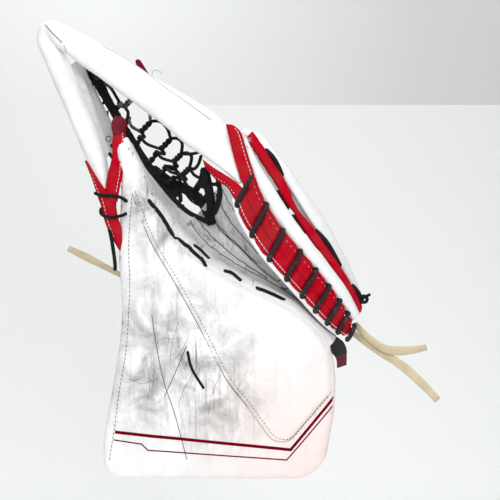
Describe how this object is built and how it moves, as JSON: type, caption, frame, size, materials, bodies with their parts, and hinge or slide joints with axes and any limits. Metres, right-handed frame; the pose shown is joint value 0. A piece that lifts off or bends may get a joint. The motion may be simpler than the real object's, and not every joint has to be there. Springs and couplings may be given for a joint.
{
  "type": "ice hockey goalie catch glove",
  "caption": "Left-hand goalie's catch glove, nearly closed: one-piece padded cuff and thumb, laced pocket net in a padded rim, red laced finger edge, hinged along its break.",
  "frame": {"origin": "middle of the wrist opening, level with the cuff's bottom edge", "axes": "+Z from the wrist towards the fingers, -Y out of the cuff's front face, +X towards the finger side"},
  "size_m": [0.3854, 0.1523, 0.4417],
  "materials": {
    "white_leather": "satin",
    "red_leather": "satin",
    "crimson_print": "satin",
    "black_lace": "matte",
    "black_leather": "matte",
    "rawhide": "matte",
    "foam": "matte",
    "stiffener_plastic": "matte",
    "lining_fabric": "matte",
    "black_webbing": "matte",
    "dark_red_webbing": "matte",
    "hook_and_loop": "matte"
  },
  "bodies": {
    "cuff": {"cuff_back_foam": "foam", "cuff_back_skin": "lining_fabric", "cuff_foam": "foam", "cuff_front_skin": "white_leather", "cuff_overlay_panel": "white_leather", "cuff_side_wall": "white_leather", "cuff_stiffener": "stiffener_plastic", "cuff_stripe_fine": "crimson_print", "cuff_stripe_wide": "crimson_print", "palm_leather_thumb_side": "white_leather", "palm_pad_thumb_side": "foam", "pocket_net_strip_side": "black_lace", "pocket_net_thumb_loops": "black_lace", "pocket_t_strip": "black_leather", "rim_leg_thumb": "white_leather", "strap_end": "black_webbing", "strap_end_tip": "dark_red_webbing", "thumb_back_shell": "white_leather", "thumb_inner_binding": "red_leather", "thumb_lace": "black_lace", "thumb_lace_tail": "black_lace", "thumb_leg_inner_binding": "white_leather", "thumb_outer_binding": "red_leather", "thumb_palm_leather": "white_leather", "thumb_rawhide": "rawhide", "thumb_stall": "lining_fabric", "wrist_pad": "foam", "wrist_strap_anchor": "black_webbing", "wrist_strap_hook_patch": "hook_and_loop"},
    "fingers": {"palm_leather_finger_side": "white_leather", "palm_pad_finger_side": "foam", "pocket_net_rim_side": "black_lace", "rim_leg_finger": "white_leather", "rim_top_tab": "white_leather", "finger_band": "red_leather", "finger_roll": "white_leather", "finger_gusset": "red_leather", "finger_band_lace": "black_lace", "backhand_lace": "black_lace", "backhand_shell": "white_leather", "little_finger_stall": "lining_fabric", "ring_finger_stall": "lining_fabric", "middle_finger_stall": "lining_fabric", "first_finger_stall": "lining_fabric", "heel_lace_knot": "black_lace", "heel_rawhide_upper": "rawhide", "heel_rawhide_lower": "rawhide"},
    "wrist_strap": {"wrist_strap": "black_webbing"},
    "hand_strap": {"hand_strap": "black_webbing"}
  },
  "joints": [
    {"name": "break_hinge", "type": "hinge", "parent": "cuff", "child": "fingers", "pos_m": [0.156, -0.009, 0.139], "axis": [-0.7071, 0, 0.7071], "range_deg": [-6, 40], "deforming": ["pocket_net_strip_side", "pocket_net_rim_side"]},
    {"name": "wrist_strap_flap", "type": "hinge", "parent": "cuff", "child": "wrist_strap", "pos_m": [-0.058, -0.026, 0.092], "axis": [0, 0, 1], "range_deg": [0, 95]},
    {"name": "hand_strap_flap", "type": "hinge", "parent": "fingers", "child": "hand_strap", "pos_m": [0.11569, 0.043, 0.2387], "axis": [0.7071, 0, -0.7071], "range_deg": [0, 80]}
  ]
}
